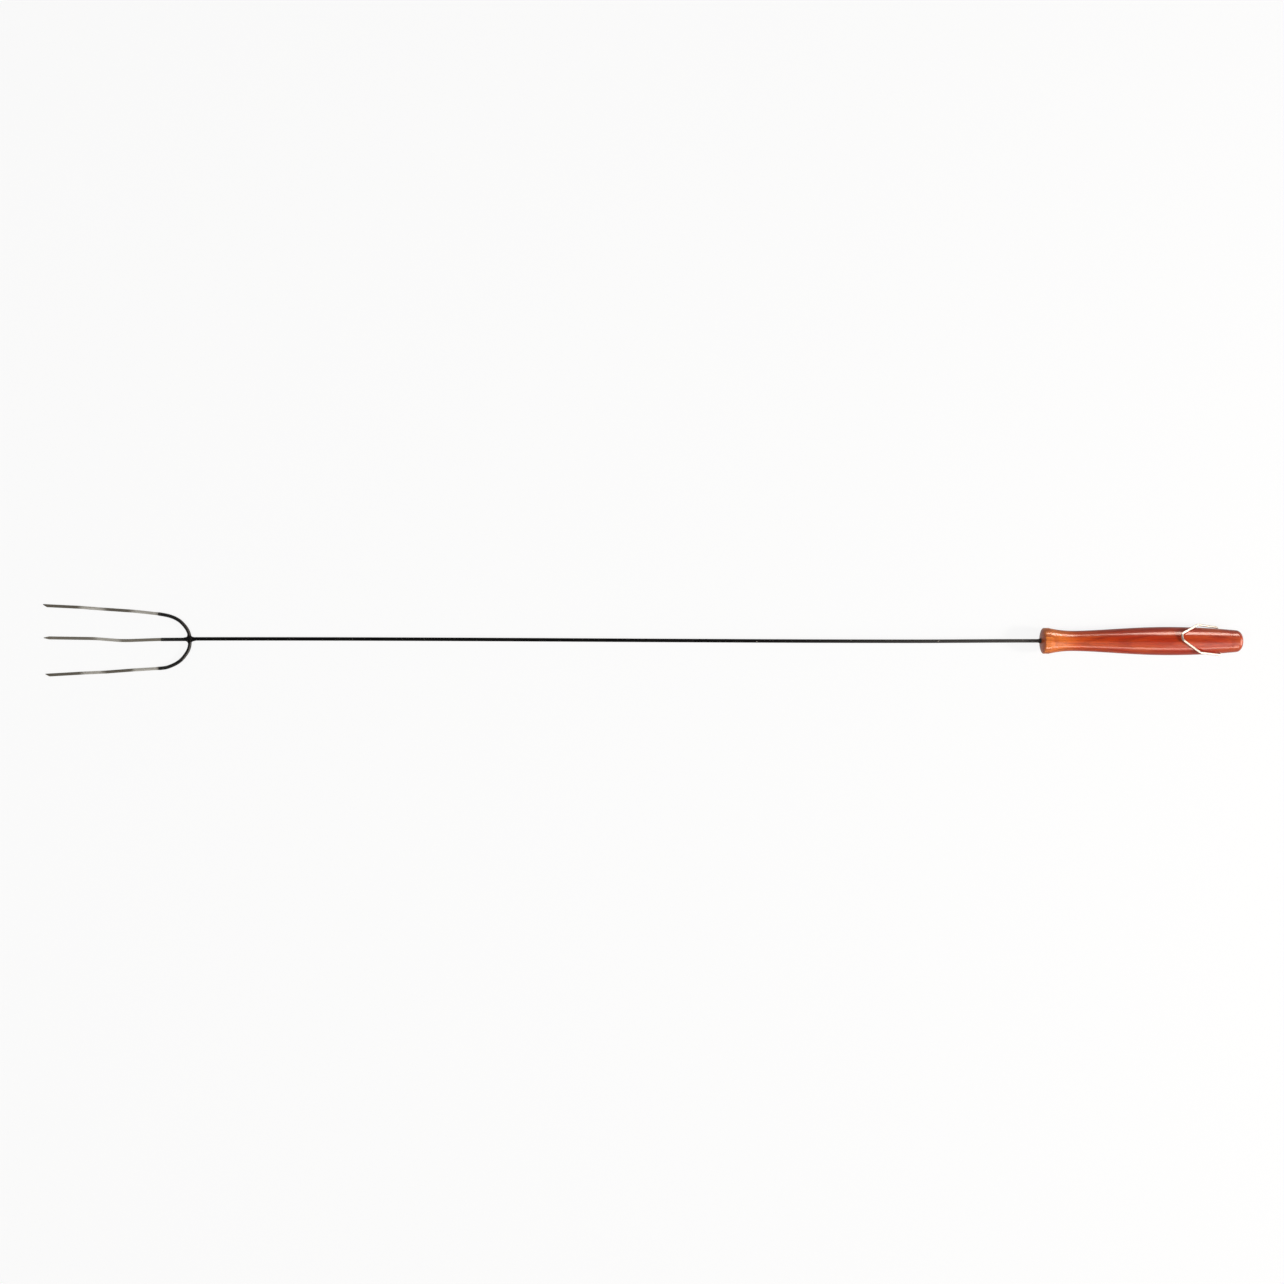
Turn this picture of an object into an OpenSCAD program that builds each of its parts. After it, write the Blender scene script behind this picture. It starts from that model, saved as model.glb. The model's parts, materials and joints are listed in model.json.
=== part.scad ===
// Three-tine roasting fork: a steel rod with welded wire tines, a turned wooden handle
// and a wire hanging bail that swings in a hole across the handle.
// The fork lies on a table: the lip of the handle and the three tine tips touch z = 0.

/* [Shaft] */
// Diameter of the rod
shaft_d = 3; // [2.4:0.1:5]
// Length of the rod from the cross wire of the tines to the front of the handle
shaft_l = 785; // [300:5:1200]
// Length of the rod's tang inside the handle
tang_l = 95; // [50:5:130]
// Length of the tang's pointed end
tang_point_l = 5; // [2:0.5:12]
// Diameter of the tang's point
tang_point_d = 1; // [0.5:0.1:2]
// Room between the tang's point and the bottom of its hole
bore_spare_l = 2; // [0.5:0.5:6]
// Width over the two pinched stop ears
ear_w = 4.6; // [4:0.1:6.4]
// Thickness of the stop ears
ear_t = 1.8; // [1:0.1:2.6]
// Length of the stop ears in front of the handle
ear_out_l = 3.6; // [2:0.2:8]
// Length of the stop ears pressed into the handle
ear_in_l = 5; // [2:0.5:12]

/* [Tines] */
// Diameter of the tine wire
tine_d = 2.8; // [2:0.1:4]
// Length of the upper tine from the cross wire to its tip
upper_tine_l = 136; // [100:1:200]
// Length of the centre tine from the cross wire to its tip
centre_tine_l = 135; // [100:1:200]
// Length of the lower tine from the cross wire to its tip
lower_tine_l = 133.5; // [100:1:200]
// Distance between the two outer tips
tip_spread = 64.4; // [50:0.2:110]
// Distance between the two outer tines where they meet the cross wire's line
base_spread = 45.8; // [36:0.2:60]
// How far the middle of the two outer tips lies below the rod's line
tip_shift = 1.2; // [0:0.1:5]
// How far the middle of the bend lies below the rod's line
base_shift = 2.3; // [0:0.1:5]
// Straight stretch in the middle of the cross wire
cross_flat_l = 0.7; // [0.2:0.1:6]
// Length of the slanted cut on the tips of the outer tines
bevel_l = 3.8; // [1.5:0.1:8]
// Length of the wedge on the tip of the centre tine
wedge_l = 4.5; // [1.5:0.1:8]
// Width of the blunt edge that is left on each tip
tip_edge = 0.5; // [0.2:0.1:1]

/* [Weld] */
// Diameter of the blob of weld metal
weld_d = 5.8; // [5.4:0.1:9]
// Length of the weld's fillet along the rod and the centre tine
weld_reach_l = 5; // [4:0.1:9]
// Length of the weld's fillet along each side of the cross wire
weld_side_l = 4.4; // [4:0.1:8]
// Height of the fillet above the wire where it leaves the blob
weld_rise = 1; // [0.6:0.1:1.6]
// Gap between the wires that the weld metal fills
root_gap = 0.3; // [0.1:0.1:1]

/* [Handle] */
// Length of the handle
handle_l = 183.5; // [150:0.5:230]
// Diameter of the lip at the front end
lip_d = 23.8; // [20:0.2:30]
// Length of the lip
lip_l = 6.5; // [4:0.5:12]
// Length over which the front end is rounded
front_round_l = 2.5; // [1:0.1:4]
// Diameter at the waist
waist_d = 18.5; // [15:0.1:19.5]
// Distance from the front of the handle to the waist
waist_at = 29; // [20:0.5:45]
// Diameter at the belly
belly_d = 25.9; // [22:0.1:32]
// Distance from the front of the handle to the belly
belly_at = 116; // [95:0.5:130]
// Diameter at the rear end, before its rounding
tail_d = 20.2; // [17:0.1:21.5]
// Length over which the rear end is rounded
tail_round_l = 7; // [3:0.5:10]

/* [Bail] */
// Diameter of the bail's wire
bail_wire_d = 2; // [1.5:0.1:3]
// Distance from the front of the handle to the hole that the bail turns in
pivot_at = 162.5; // [150:0.5:170]
// Turn of that hole around the handle
pivot_turn = 15.8; // [0:0.2:45]
// Distance from the hole to the bends of the legs
leg_l = 22; // [14:0.5:30]
// Distance from the hole to the flat end of the bail
bail_l = 41; // [34:0.5:60]
// How much wider the legs stand at their bends than at the hole
leg_flare = 0.5; // [0:0.1:6]
// Length of the flat end between its two corners
crown_l = 5.8; // [5.2:0.2:10]
// Radius of the bail's bends, at the middle of the wire
bail_bend_r = 4; // [2.5:0.1:4.4]
// Radius of the bend where the legs turn into the handle, at the middle of the wire
foot_bend_r = 1.5; // [1.2:0.1:2]
// Straight length of wire inside the handle on each side
foot_l = 5.8; // [3:0.2:8]

/* [Fits] */
// Clearance around the bail's ends in the hole across the handle
pivot_fit = 0.05; // [0.02:0.01:0.1]
// Clearance around the tang and its ears in the handle, filled by glue
tang_fit = 0.03; // [0.02:0.01:0.1]
// Straight wire between the handle and the bend of each foot
foot_gap = 0.18; // [0.1:0.02:1]
// Gap between the folded bail and the handle
rest_gap = 0.3; // [0.2:0.05:1]

/* [Hidden] */
$fn = 48;

shaft_r = shaft_d / 2;
tine_r = tine_d / 2;
bail_wire_r = bail_wire_d / 2;
pivot_hole_r = bail_wire_r + pivot_fit;
bore_l = front_round_l + tang_l + bore_spare_l;

// The fork is drawn along X with the front of the handle at x = 0, the tines at negative x
// and the rod's line at y = 0, z = 0. The outer tines' cross wire stands here.
cross_x = -shaft_l;
upper_tip = [cross_x - upper_tine_l, tip_spread / 2 - tip_shift];
lower_tip = [cross_x - lower_tine_l, -tip_spread / 2 - tip_shift];
upper_corner = [cross_x, base_spread / 2 - base_shift];
lower_corner = [cross_x, -base_spread / 2 - base_shift];

// The tines were bent by hand, so they wander a little. Each entry is a share of the tine's
// length from the cross wire and how far the wire stands off the straight line there, in mm.
upper_waves = [[0.39, 1.3], [0.6, 1], [0.75, 1]];
lower_waves = [[0.39, 0], [0.58, -0.4], [0.73, -0.1]];
centre_waves = [[0.2, -0.5], [0.41, -1.8], [0.47, -1.9], [0.645, -0.2]];
centre_tip_y = 1.2;
wave_bend_r = 30;

// How far a wire's straight stretches lap into its bends, and how much thicker those are.
bend_lap = 0.02;
bend_step = 0.005;

// Shares of the rounded ends: a larger power makes a squarer corner.
front_power = 4;
tail_power = 2.6;
round_steps = 10;
profile_step = 4;

// How far the end of a weld fillet's cone lies inside the wire that it follows, and how far the
// two fillets along the cross wire stand towards the tips, because that wire bends there.
fillet_sink = 0.4;
side_shift = 0.35;

bevel_deg = atan((tine_d - tip_edge) / bevel_l);
wedge_deg = atan((tine_d - tip_edge) / 2 / wedge_l);

// A point on the line from a to b, moved aside by the wave's height.
function waved(a, b, wave) = a + (b - a) * wave[0] + [0, wave[1]];
function reversed(list) = [for (i = [len(list) - 1 : -1 : 0]) list[i]];

// Heading of each stretch of a path, and the turn at each of its corners.
function heading(p, i) = atan2(p[i + 1].y - p[i].y, p[i + 1].x - p[i].x);
function wrapped(a) = a > 180 ? a - 360 : a < -180 ? a + 360 : a;
function turn(p, i) = wrapped(heading(p, i) - heading(p, i - 1));
function setback(p, bends, i) =
    i == 0 || i == len(p) - 1 ? 0 : bends[i] * tan(abs(turn(p, i)) / 2);

// A round wire along the points of a path, bent at each corner to that corner's radius. Its
// bends are a hair thicker than its straight stretches, which lap into them.
module bent_wire(path, bends, wire_r) {
    last = len(path) - 2;
    for (i = [0 : last]) {
        from = setback(path, bends, i) - (i > 0 ? bend_lap : 0);
        to = norm(path[i + 1] - path[i]) - setback(path, bends, i + 1) + (i < last ? bend_lap : 0);
        translate(path[i])
            rotate([0, 90, heading(path, i)])
                translate([0, 0, from])
                    cylinder(h = to - from, r = wire_r);
    }
    for (i = [1 : len(path) - 2]) {
        bend = turn(path, i);
        side = sign(bend);
        into = heading(path, i - 1);
        back = setback(path, bends, i);
        centre = path[i] - back * [cos(into), sin(into)]
            + side * bends[i] * [-sin(into), cos(into)];
        if (abs(bend) > 0.01)
            translate(centre)
                rotate([0, 0, side > 0 ? into - 90 : into + 90 + bend])
                    rotate_extrude(angle = abs(bend))
                        translate([bends[i], 0])
                            circle(r = wire_r + bend_step);
    }
}

// Path of the wire that makes both outer tines, from the upper tip round to the lower one.
upper_leg = reversed([for (w = upper_waves) waved(upper_corner, upper_tip, w)]);
lower_leg = [for (w = lower_waves) waved(lower_corner, lower_tip, w)];
outer_path = concat([upper_tip], upper_leg, [upper_corner, lower_corner], lower_leg, [lower_tip]);
upper_at = len(upper_leg) + 1;
// The cross wire is one bend, so its two corners share a radius that fills the spread.
cross_bend_r = (base_spread - cross_flat_l)
    / (tan(abs(turn(outer_path, upper_at)) / 2) + tan(abs(turn(outer_path, upper_at + 1)) / 2));
outer_bends = [for (i = [0 : len(outer_path) - 1])
    i == upper_at || i == upper_at + 1 ? cross_bend_r : wave_bend_r];

// Path of the centre tine, from the cross wire to its tip.
centre_start = [cross_x - tine_r - root_gap, 0];
centre_tip = [cross_x - centre_tine_l, centre_tip_y];
centre_path = concat([centre_start],
    [for (w = centre_waves) waved(centre_start, centre_tip, w)], [centre_tip]);
centre_bends = [for (p = centre_path) wave_bend_r];

// Radius of the handle at a distance x from its front: a lip, a hollow down to the waist,
// a slow swell to the belly and a taper to the rear, with both ends rounded off.
function hollow(t) = waist_d + (lip_d - waist_d) * pow(1 - t, 2);
function swell(t) = waist_d + (belly_d - waist_d) * (1 - cos(180 * t)) / 2;
function taper(t) = belly_d - (belly_d - tail_d) * pow(t, 2);
function body_d(x) =
    x < lip_l ? lip_d :
    x < waist_at ? hollow((x - lip_l) / (waist_at - lip_l)) :
    x < belly_at ? swell((x - waist_at) / (belly_at - waist_at)) :
    taper((x - belly_at) / (handle_l - tail_round_l - belly_at));
function rounded(t, power) = t <= 0 ? 1 : pow(max(0, 1 - pow(min(1, t), power)), 1 / power);
function handle_r(x) = body_d(x) / 2
    * rounded(1 - x / front_round_l, front_power)
    * rounded((x - handle_l + tail_round_l) / tail_round_l, tail_power);

// Distances along the handle where its outline has a point, closer together at the ends.
end_shares = [for (i = [0 : round_steps]) 1 - cos(90 * i / round_steps)];
outline_from = lip_l;
outline_to = handle_l - tail_round_l;
outline_count = round((outline_to - outline_from) / profile_step);
outline_x = concat(
    [for (s = end_shares) s * front_round_l],
    [for (i = [0 : outline_count])
        outline_from + (outline_to - outline_from) * i / outline_count],
    [for (s = reversed(end_shares)) if (s < 1) handle_l - s * tail_round_l]);

// The bail in its own plane: x runs from the hole to the crown, y runs across the handle.
foot_in = handle_r(pivot_at) - foot_l;
foot_out = handle_r(pivot_at) + foot_gap + foot_bend_r;
half_bail = [[-bail_l, crown_l / 2], [-leg_l, foot_out + leg_flare / 2], [0, foot_out], [0, foot_in]];
bail_path = concat(reversed(half_bail), [for (p = half_bail) [p.x, -p.y]]);
bail_bends = [0, foot_bend_r, bail_bend_r, bail_bend_r, bail_bend_r, bail_bend_r, foot_bend_r, 0];

// The bail lies on the handle at the first angle that leaves the gap all along it.
rest_shares = [0 : 0.05 : 1];
function bail_clearance(p, angle) =
    norm([p.y, p.x * sin(angle)]) - handle_r(pivot_at + p.x * cos(angle)) - bail_wire_r;
function clears(angle) = min([for (i = [1 : 5], s = rest_shares)
    bail_clearance(bail_path[i] + (bail_path[i + 1] - bail_path[i]) * s, angle)]) >= rest_gap;
rest_angle = [for (angle = [5 : 0.05 : 80]) if (clears(angle)) angle][0];

// The fork lies on the tine tips and on the part of the handle that reaches lowest with the
// tips on the table, and its box is centred over the origin.
tips_x = min(upper_tip.x, centre_tip.x, lower_tip.x);
lie_slopes = [for (x = outline_x) (handle_r(x) - tine_r) / (x - tips_x)];
lie_angle = atan(max(lie_slopes));
touch_x = [for (i = [0 : len(outline_x) - 1]) if (lie_slopes[i] == max(lie_slopes)) outline_x[i]][0];
middle_x = (handle_l + tips_x) / 2;
middle_y = (upper_tip.y + lower_tip.y) / 2;

module laid_down() {
    translate([touch_x - middle_x, -middle_y, handle_r(touch_x) * cos(lie_angle)])
        rotate([0, -lie_angle, 0])
            translate([-touch_x, 0, 0])
                children();
}

// The rod's pinched ears, half outside the handle. Grown by a fit they also cut the handle.
module ears(fit) {
    out = -ear_out_l;
    in = ear_in_l + fit;
    side = ear_w / 2 + fit;
    translate([0, 0, -ear_t / 2 - fit])
        linear_extrude(ear_t + 2 * fit)
            polygon([[out, -shaft_r / 2], [0, -side], [in, -side], [in, side], [0, side],
                [out, shaft_r / 2]]);
}

module rod() {
    start = cross_x + tine_r + root_gap;
    translate([start, 0, 0])
        rotate([0, 90, 0])
            cylinder(h = tang_l - tang_point_l - start, r = shaft_r);
    translate([tang_l - tang_point_l, 0, 0])
        rotate([0, 90, 0])
            cylinder(h = tang_point_l, d1 = shaft_d, d2 = tang_point_d);
    ears(0);
}

module cross_and_legs() {
    bent_wire(outer_path, outer_bends, tine_r);
}

module centre_wire() {
    bent_wire(centre_path, centre_bends, tine_r);
}

// Puts a child at a wire's tip, with x along the wire from its tip.
module at_tip(path) {
    translate(path[0])
        rotate([0, 0, heading(path, 0)])
            children();
}

// A block that takes away everything below a slope that starts at the height of an edge.
module slope(edge, tilt) {
    big = 4 * tine_d + bevel_l + wedge_l;
    translate([0, edge, 0])
        rotate([0, 0, tilt])
            translate([-big / 2, -big, -big / 2])
                cube(big);
}

module shaft() {
    color("#26282b")
        laid_down()
            rod();
}

module outer_tines() {
    color("#3a3a3c")
        laid_down()
            difference() {
                cross_and_legs();
                for (path = [outer_path, reversed(outer_path)])
                    at_tip(path)
                        slope(tine_r - tip_edge, -bevel_deg);
            }
}

module centre_tine() {
    color("#3a3a3c")
        laid_down()
            difference() {
                centre_wire();
                at_tip(reversed(centre_path))
                    for (side = [0, 1])
                        mirror([0, side, 0])
                            slope(-tip_edge / 2, -wedge_deg);
            }
}

// One fillet of the weld: a cone that narrows until it sinks into the wire it follows.
module fillet(wire_r, reach) {
    rotate([0, 90, 0])
        cylinder(h = reach, r1 = wire_r + weld_rise, r2 = wire_r - fillet_sink);
}

module weld_bead() {
    color("#2f2f31")
        laid_down()
            difference() {
                translate([cross_x, 0, 0]) {
                    sphere(d = weld_d);
                    fillet(shaft_r, weld_reach_l);
                    rotate([0, 0, 180])
                        fillet(tine_r, weld_reach_l);
                    for (side = [-90, 90])
                        translate([-side_shift, 0, 0])
                            rotate([0, 0, side])
                                fillet(tine_r, weld_side_l);
                }
                rod();
                cross_and_legs();
                centre_wire();
            }
}

module handle() {
    color("#b8431f")
        laid_down()
            difference() {
                rotate([0, 90, 0])
                    rotate_extrude()
                        polygon([for (x = outline_x) [handle_r(x), x]]);
                translate([-front_round_l, 0, 0])
                    rotate([0, 90, 0])
                        cylinder(h = bore_l, r = shaft_r + tang_fit);
                ears(tang_fit);
                translate([pivot_at, 0, 0])
                    rotate([90 - pivot_turn, 0, 0])
                        cylinder(h = belly_d, r = pivot_hole_r, center = true);
            }
}

module hanging_bail() {
    color("#e4e0d8")
        laid_down()
            translate([pivot_at, 0, 0])
                rotate([-pivot_turn, 0, 0])
                    rotate([0, rest_angle, 0])
                        bent_wire(bail_path, bail_bends, bail_wire_r);
}

shaft();
outer_tines();
centre_tine();
weld_bead();
handle();
hanging_bail();
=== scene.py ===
import json
import math

import bpy
import numpy as np
from mathutils import Matrix, Vector


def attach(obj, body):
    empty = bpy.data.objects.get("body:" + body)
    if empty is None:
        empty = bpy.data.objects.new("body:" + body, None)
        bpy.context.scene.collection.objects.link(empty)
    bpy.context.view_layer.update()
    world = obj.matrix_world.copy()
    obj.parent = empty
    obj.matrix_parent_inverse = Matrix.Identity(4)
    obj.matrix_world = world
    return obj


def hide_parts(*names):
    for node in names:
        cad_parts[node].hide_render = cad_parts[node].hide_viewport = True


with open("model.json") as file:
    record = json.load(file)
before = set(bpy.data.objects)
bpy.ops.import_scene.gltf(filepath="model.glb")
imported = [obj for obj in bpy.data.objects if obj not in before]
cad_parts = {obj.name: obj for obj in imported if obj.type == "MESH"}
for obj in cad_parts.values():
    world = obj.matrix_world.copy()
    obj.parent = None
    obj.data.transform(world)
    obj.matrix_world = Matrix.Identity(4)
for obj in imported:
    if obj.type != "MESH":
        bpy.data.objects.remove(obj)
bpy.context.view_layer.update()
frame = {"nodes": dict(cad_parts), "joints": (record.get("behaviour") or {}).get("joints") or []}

print("frame loaded:", sorted(frame["nodes"]))

# Where the fork lies. It is drawn along X with the front of the handle at zero and the tines at
# negative X; the joint of the bail gives the place, the lean and the turn of the real axes.
bailJoint = frame["joints"][0]
pivotPoint = np.array(bailJoint["pos_m"])
hingeAxis = np.array(bailJoint["axis"])
leanAngle = math.atan2(hingeAxis[0], -hingeAxis[2])
turnAngle = math.atan2(math.hypot(hingeAxis[0], hingeAxis[2]), hingeAxis[1])
restAngle = math.radians((360 - bailJoint["range_deg"][1]) / 2)

rodSizes = {
    "wire": 0.003,           # diameter of the rod
    "length": 0.785,         # from the cross wire of the tines to the front of the handle
    "tang": 0.095,           # rod inside the handle
    "tangPoint": 0.005,      # length of the tang's point
    "pointWire": 0.001,      # diameter of that point
    "earWidth": 0.0046,      # over the two pinched ears
    "earThickness": 0.0018,
    "earFront": 0.0036,      # ears in front of the handle
    "earBack": 0.005,        # ears pressed into it
    "sway": 0.00062,         # how far the rod stands off a straight line
    "swayCrest": 0.15,       # where it does so most to each side, as shares of its length
    "swayTrough": 0.8,
    "swayEnd": 0.12,         # and how far in front of the handle the wave starts to die out
}

tineSizes = {
    "wire": 0.0028,
    "upper": 0.136,          # lengths from the cross wire to the tips
    "centre": 0.135,
    "lower": 0.1335,
    "tipSpread": 0.0644,
    "baseSpread": 0.0458,
    "tipShift": 0.0012,
    "baseShift": 0.0023,
    "crossFlat": 0.0007,
    "rootGap": 0.0003,       # between the wires, filled by the weld
    "cut": 0.0038,           # length of the slanted cut on the outer tips
    "wedge": 0.0045,         # length of the wedge on the centre tip
    "edge": 0.0005,          # blunt edge left on each tip
    "waveBend": 0.12,        # radius of the slow bends of a hand-bent tine
    # share of the length from the cross wire, and how far the wire stands off there
    "upperWaves": [(0.39, 0.0013), (0.6, 0.001), (0.75, 0.001)],
    "lowerWaves": [(0.39, 0.0), (0.58, -0.0004), (0.73, -0.0001)],
    "centreWaves": [(0.2, -0.0004), (0.41, -0.0017), (0.47, -0.0018), (0.645, -0.0002)],
    "centreTip": 0.0012,
    # how far the hand-bent U stands off its two arcs in mm, evenly over a span of the wire
    "uSpan": (0.32, 0.68),
    "uSway": (0.1, 0.0, -0.78, -0.4, 0.42, 0.28, -0.8, -1.1, -0.05, 0.0),
}

weldSizes = {
    "blob": 0.0058,          # diameter
    "reach": 0.006,          # fillet along the rod and the centre tine
    "side": 0.0044,          # fillet along each side of the cross wire
    "rise": 0.0013,          # height of a fillet where it leaves the blob
    "flat": 0.9,             # height of the blob as a share of its width
    "ripple": 0.00007,       # height of the ripples in the weld metal
    "aside": 0.00025,        # how far the blob sits off the rod's line
}

handleSizes = {
    "length": 0.1835,
    "lip": 0.0238,           # diameters
    "waist": 0.0185,
    "belly": 0.0259,
    "tail": 0.0202,
    "lipLength": 0.0065,
    "waistAt": 0.029,        # distances from the front
    "bellyAt": 0.116,
    "frontRound": 0.002,
    "frontDome": 0.0009,     # how far the front face bulges
    "swellPower": 0.8,       # below 1 the swell starts sooner
    "tailRound": 0.006,
    "pivotAt": 0.1625,
    "ringsAt": (0.1705, 0.1722),  # two faint turned rings near the rear
    "ringDepth": 0.00012,
    "ringWidth": 0.0007,
}

bailSizes = {
    "wire": 0.002,
    "leg": 0.022,            # from the hole to the bends of the legs
    "length": 0.041,         # from the hole to the flat end
    "flare": 0.0005,
    "crown": 0.0058,
    "bend": 0.004,
    "footBend": 0.0015,
    "foot": 0.0058,          # straight wire inside the handle on each side
    "footGap": 0.00018,
    "holeFit": 0.00005,
}


# Thickness of the coat of black paint on the rod, and on the weld and the base of the tines.
paintThickness = {"rod": 0.00014, "tines": 0.0002}


# Points of the fork's own drawing: turned about Y by the lean, then moved onto the joint.
def laidDown(points):
    local = np.asarray(points, float) - [handleSizes["pivotAt"], 0, 0]
    c, s = math.cos(leanAngle), math.sin(leanAngle)
    x, y, z = local[..., 0], local[..., 1], local[..., 2]
    return np.stack([x * c - z * s, y, x * s + z * c], -1) + pivotPoint


# Smooth step from 0 at low to 1 at high: t * t * (3 - 2 * t) with t clipped to 0..1.
def easeBetween(value, low, high):
    t = np.clip((value - low) / (high - low), 0, 1)
    return t * t * (3 - 2 * t)


# A mesh from rings of points, one row a ring. Each cell is a quad, each end a fan about a pole;
# the winding is turned round if the enclosed volume comes out negative.
def ringMesh(name, rings, startPole, endPole, straight=None, sharp=35, keep=None, extra=None):
    count, sides = rings.shape[:2]
    points = np.concatenate([rings.reshape(-1, 3), [startPole], [endPole]])
    row, column = np.meshgrid(np.arange(count - 1), np.arange(sides), indexing="ij")
    a = row * sides + column
    b = row * sides + (column + 1) % sides
    quads = np.stack([a, b, b + sides, a + sides], -1)
    quads = quads[keep] if keep is not None else quads.reshape(-1, 4)
    around = np.arange(sides)
    after = (around + 1) % sides
    last = (count - 1) * sides
    first = np.full(sides, count * sides)
    fans = np.concatenate([np.stack([after, around, first], -1),
                           np.stack([last + around, last + after, first + 1], -1)])
    if extra is not None:
        points = np.concatenate([points, extra[0].reshape(-1, 3)])
        quads = np.concatenate([quads, extra[1](count * sides + 2)])
    tris = np.concatenate([quads[:, [0, 1, 2]], quads[:, [0, 2, 3]], fans])
    corners = points[tris]
    volume = np.einsum("ij,ij->i", corners[:, 0], np.cross(corners[:, 1], corners[:, 2])).sum()
    if volume < 0:
        quads, fans = quads[:, ::-1], fans[:, ::-1]
    mesh = bpy.data.meshes.new(name)
    mesh.from_pydata(points.tolist(), [], quads.tolist() + fans.tolist())
    mesh.shade_smooth()
    mesh.set_sharp_from_angle(angle=math.radians(sharp))
    if straight is not None:
        ends = np.stack([straight[0].mean(0), straight[-1].mean(0)])
        stored = mesh.attributes.new("straight", "FLOAT_VECTOR", "POINT")
        stored.data.foreach_set("vector", np.concatenate([straight.reshape(-1, 3), ends]).ravel())
    mesh.validate()
    obj = bpy.data.objects.new(name, mesh)
    bpy.context.scene.collection.objects.link(obj)
    return obj


# A line of straight runs with an arc at each corner. An arc leaves its corner by the bend's
# radius times the tangent of half the turn. Gives the points, their headings and distances.
def bentLine(corners, bends, step):
    corners = np.array(corners, float)
    runs = np.diff(corners, axis=0)
    headings = np.unwrap(np.arctan2(runs[:, 1], runs[:, 0]))
    turns = np.diff(headings)
    setbacks = np.concatenate([[0], np.array(bends[1:-1]) * np.tan(np.abs(turns) / 2), [0]])
    points, facing = [], []
    for i, heading in enumerate(headings):
        direction = np.array([math.cos(heading), math.sin(heading)])
        start = corners[i] + direction * setbacks[i]
        stop = corners[i + 1] - direction * setbacks[i + 1]
        length = max(np.linalg.norm(stop - start), 1e-9)
        share = np.linspace(0, 1, max(2, int(length / step) + 1))[:, None]
        points.append(start + (stop - start) * share)
        facing.append(np.full(len(share), heading))
        if i < len(turns):
            side = math.copysign(1, turns[i])
            angles = np.linspace(0, turns[i], max(4, int(abs(turns[i]) * bends[i + 1] / step) + 2))
            hub = stop + side * bends[i + 1] * np.array([-direction[1], direction[0]])
            swept = heading + angles[1:-1]
            points.append(hub + side * bends[i + 1] * np.stack([np.sin(swept), -np.cos(swept)], -1))
            facing.append(swept)
    points, facing = np.concatenate(points), np.concatenate(facing)
    along = np.concatenate([[0], np.cumsum(np.linalg.norm(np.diff(points, axis=0), axis=1))])
    return points, facing, along


# Fewer points on long straight stretches, more near the two ends: keeps a point when it turns,
# when it lies near an end, or when it is far enough from the last one kept.
def thinned(points, facing, along, near, far):
    ends = np.minimum(along, along[-1] - along)
    turning = np.abs(np.gradient(facing)) > 1e-6
    every = np.where(ends < 0.006, near, far)
    slots = np.floor(np.cumsum(np.diff(along, prepend=0) / every))
    keep = turning | (np.diff(slots, prepend=-1) > 0)
    keep[[0, -1]] = True
    return points[keep], facing[keep], along[keep]


# Moves a line sideways by a weighted mean of the listed offsets, which stand evenly over a span
# of it: each weight falls off as a bell curve with the distance along the line.
def swayed(line, span, offsets):
    points, facing, along = line
    places = along[-1] * np.linspace(*span, len(offsets))
    weight = np.exp(-((along[:, None] - places) / ((places[1] - places[0]) * 0.6)) ** 2)
    off = (weight * offsets).sum(1) / weight.sum(1) * 0.001
    left = np.stack([-np.sin(facing), np.cos(facing)], -1)
    return points + off[:, None] * left, facing + np.arctan(np.gradient(off, along)), along


# A wire along a flat line. section(along, angle) gives how far each point of the ring stands
# off the line sideways and upwards. Adds the same wire pulled straight as an attribute.
def wirePiece(name, line, section, sides, place, sharp=35):
    points, facing, along = line
    angle = np.linspace(0, 2 * math.pi, sides, endpoint=False)[None, :]
    across, up = section(along[:, None], angle)
    across, up = np.broadcast_arrays(across, up)
    shape = across.shape
    left = np.stack([-np.sin(facing), np.cos(facing)], -1)
    flat = points[:, None, :] + across[..., None] * left[:, None, :]
    rings = np.concatenate([flat, up[..., None]], -1)
    straight = np.stack([np.broadcast_to(along[:, None], shape), across, up], -1)
    rings = place(rings)
    return ringMesh(name, rings, rings[0].mean(0), rings[-1].mean(0), straight, sharp)


# A point on the line from one corner to another, moved aside by the wave's height.
def waved(start, end, waves):
    start, end = np.array(start), np.array(end)
    return [tuple(start + (end - start) * share + [0, off]) for share, off in waves]


# How much wider the paint makes a wire: one plus coat / radius behind the paint's edge.
def painted(line, radius, edge):
    x = laidDown(np.stack([line[0][:, 0], line[0][:, 1], 0 * line[2]], -1))[:, :1]
    return 1 + paintThickness["tines"] / radius * easeBetween(x, edge - 0.0012, edge)


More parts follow.
